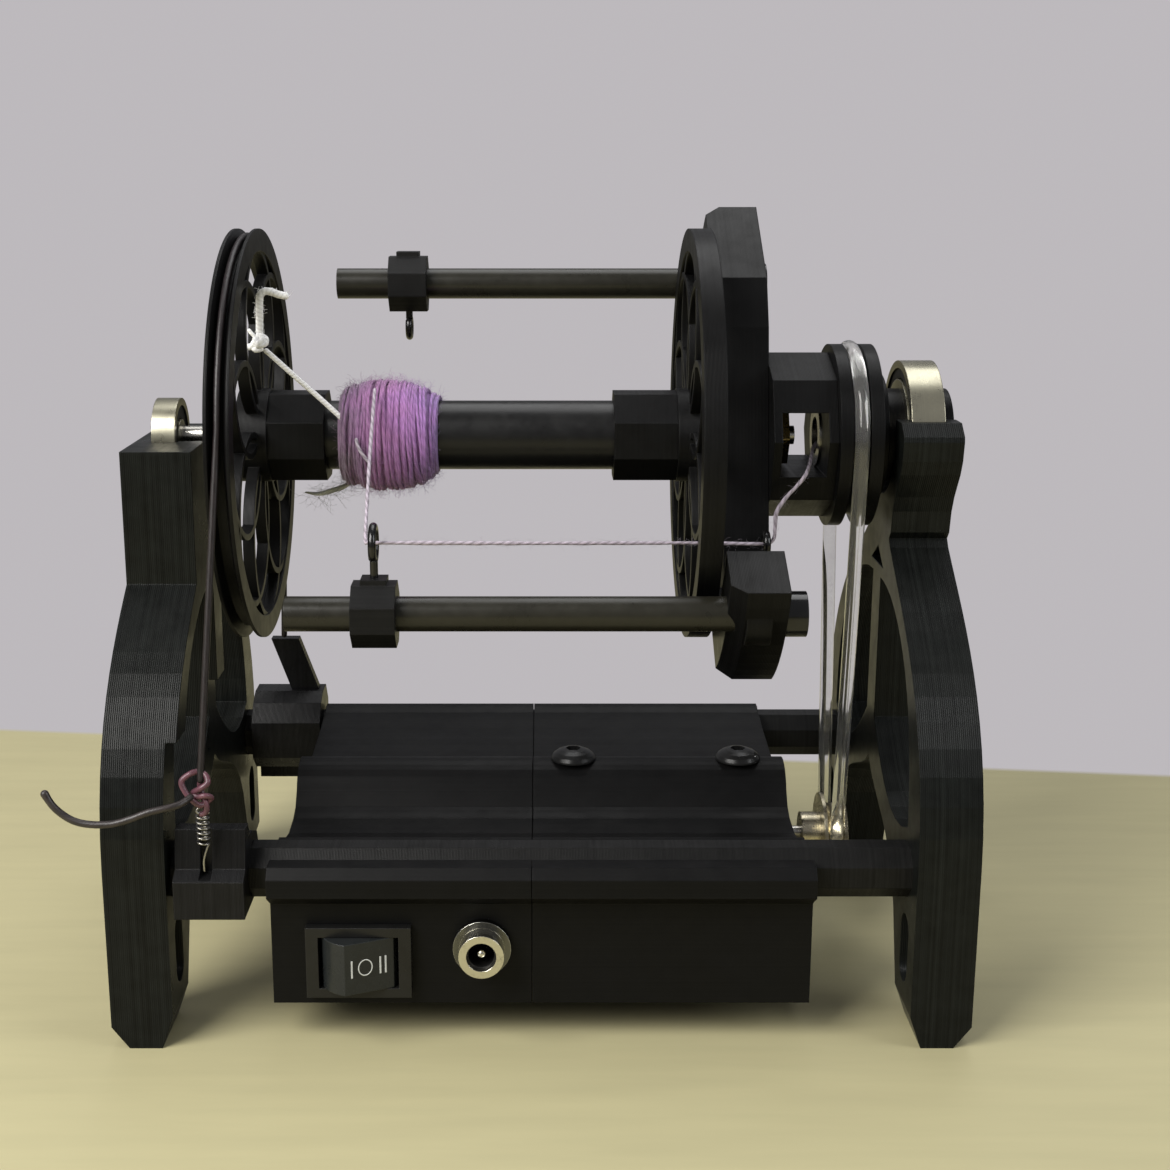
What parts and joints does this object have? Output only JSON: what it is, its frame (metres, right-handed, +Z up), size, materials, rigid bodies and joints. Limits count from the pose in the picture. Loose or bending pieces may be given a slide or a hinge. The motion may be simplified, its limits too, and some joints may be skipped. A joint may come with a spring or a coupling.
{
  "type": "electric yarn spinner",
  "caption": "Tabletop electric yarn spinner: end frames on rods, a motor case, a belt-driven flyer and a cord-braked bobbin.",
  "frame": {"origin": "on the table, midway between the end frames and below the flyer axis", "axes": "+X along the flyer axis towards the orifice, +Y away from the switch side, +Z up"},
  "size_m": [0.1822, 0.1146, 0.1642],
  "materials": {
    "frame_print": "black layered print, satin",
    "rod_print": "black print with flats",
    "case_print": "fine black print, smooth",
    "black_screw": "black oxide",
    "motor_steel": "plated can",
    "steel": "bright steel",
    "brass": "turned pale brass",
    "nut_brass": "turned brass",
    "clear_belt": "clear soft plastic",
    "switch_plastic": "moulded black",
    "rocker_plastic": "satin black with white marks",
    "jack_metal": "nickel plated",
    "bearing_steel": "ground steel, warm",
    "flyer_print": "black print",
    "arm_rod": "dark drawn rod",
    "cap_plastic": "black, glossy",
    "slider_print": "black print",
    "hook_wire": "black coated wire",
    "bobbin_print": "black print",
    "bobbin_tube": "smooth black",
    "yarn": "mauve to violet wool",
    "leader_yarn": "off-white cotton",
    "yarn_single": "pale violet single",
    "clip_print": "black print",
    "cord": "burgundy cord",
    "tail_cord": "dark brown cord"
  },
  "bodies": {
    "stand": {"left_frame": "frame_print", "right_frame": "frame_print", "front_rod": "rod_print", "rear_rod": "rod_print", "control_housing": "case_print", "motor_housing": "case_print", "housing_screws": "black_screw", "motor_can": "motor_steel", "drive_belt": "clear_belt", "switch_body": "switch_plastic", "jack_barrel": "jack_metal", "jack_nut": "jack_metal", "jack_pin": "jack_metal", "left_bearing_outer": "bearing_steel", "right_bearing_outer": "bearing_steel", "tension_spring": "steel", "brake_cord": "cord", "cord_knot": "cord", "brake_cord_tail": "tail_cord", "rear_bracket": "clip_print", "bracket_bar": "clip_print"},
    "flyer": {"left_bearing_inner": "bearing_steel", "right_bearing_inner": "bearing_steel", "flyer_shaft": "steel", "shaft_nut": "nut_brass", "flyer_body": "flyer_print", "flyer_cage": "flyer_print", "drive_pulley": "flyer_print", "orifice_tube": "flyer_print", "orifice_bushing": "steel", "back_arm": "arm_rod", "front_arm": "arm_rod", "back_arm_cap": "cap_plastic", "front_arm_cap": "cap_plastic", "body_hook": "hook_wire", "yarn_strand": "yarn_single"},
    "bobbin": {"bobbin_left_flange": "bobbin_print", "bobbin_right_flange": "bobbin_print", "bobbin_left_collar": "bobbin_print", "bobbin_right_collar": "bobbin_print", "bobbin_tube": "bobbin_tube", "yarn_core": "yarn", "yarn_winding": "yarn", "yarn_leader": "leader_yarn"},
    "motor_rotor": {"motor_shaft": "steel", "motor_pulley": "brass"},
    "back_guide": {"back_slider": "slider_print", "back_hook": "hook_wire"},
    "front_guide": {"front_slider": "slider_print", "front_hook": "hook_wire"},
    "rocker": {"switch_rocker": "rocker_plastic"},
    "clip": {"tension_clip": "clip_print"}
  },
  "joints": [
    {"name": "flyer_spin", "type": "hinge", "parent": "stand", "child": "flyer", "pos_m": [0, 0, 0.11645], "axis": [1, 0, 0], "continuous": true},
    {"name": "bobbin_spin", "type": "hinge", "parent": "flyer", "child": "bobbin", "pos_m": [0, 0, 0.11645], "axis": [1, 0, 0], "continuous": true},
    {"name": "motor_spin", "type": "hinge", "parent": "stand", "child": "motor_rotor", "pos_m": [0, 0, 0.025], "axis": [1, 0, 0], "continuous": true},
    {"name": "back_slider_slide", "type": "slide", "parent": "flyer", "child": "back_guide", "axis": [1, 0, 0], "range_m": [-0.011, 0.055]},
    {"name": "front_slider_slide", "type": "slide", "parent": "flyer", "child": "front_guide", "axis": [1, 0, 0], "range_m": [-0.013, 0.057], "deforming": ["yarn_strand"]},
    {"name": "rocker_tilt", "type": "hinge", "parent": "stand", "child": "rocker", "pos_m": [-0.0365, -0.0486, 0.0181], "axis": [0, 0, -1], "range_deg": [0, 46]},
    {"name": "clip_turn", "type": "hinge", "parent": "stand", "child": "clip", "pos_m": [0, -0.0434, 0.0346], "axis": [1, 0, 0], "range_deg": [-12, 15], "deforming": ["tension_spring"]}
  ],
  "couplings": [
    {"joint": "motor_spin", "follows": "flyer_spin", "ratio": 2.2381}
  ]
}
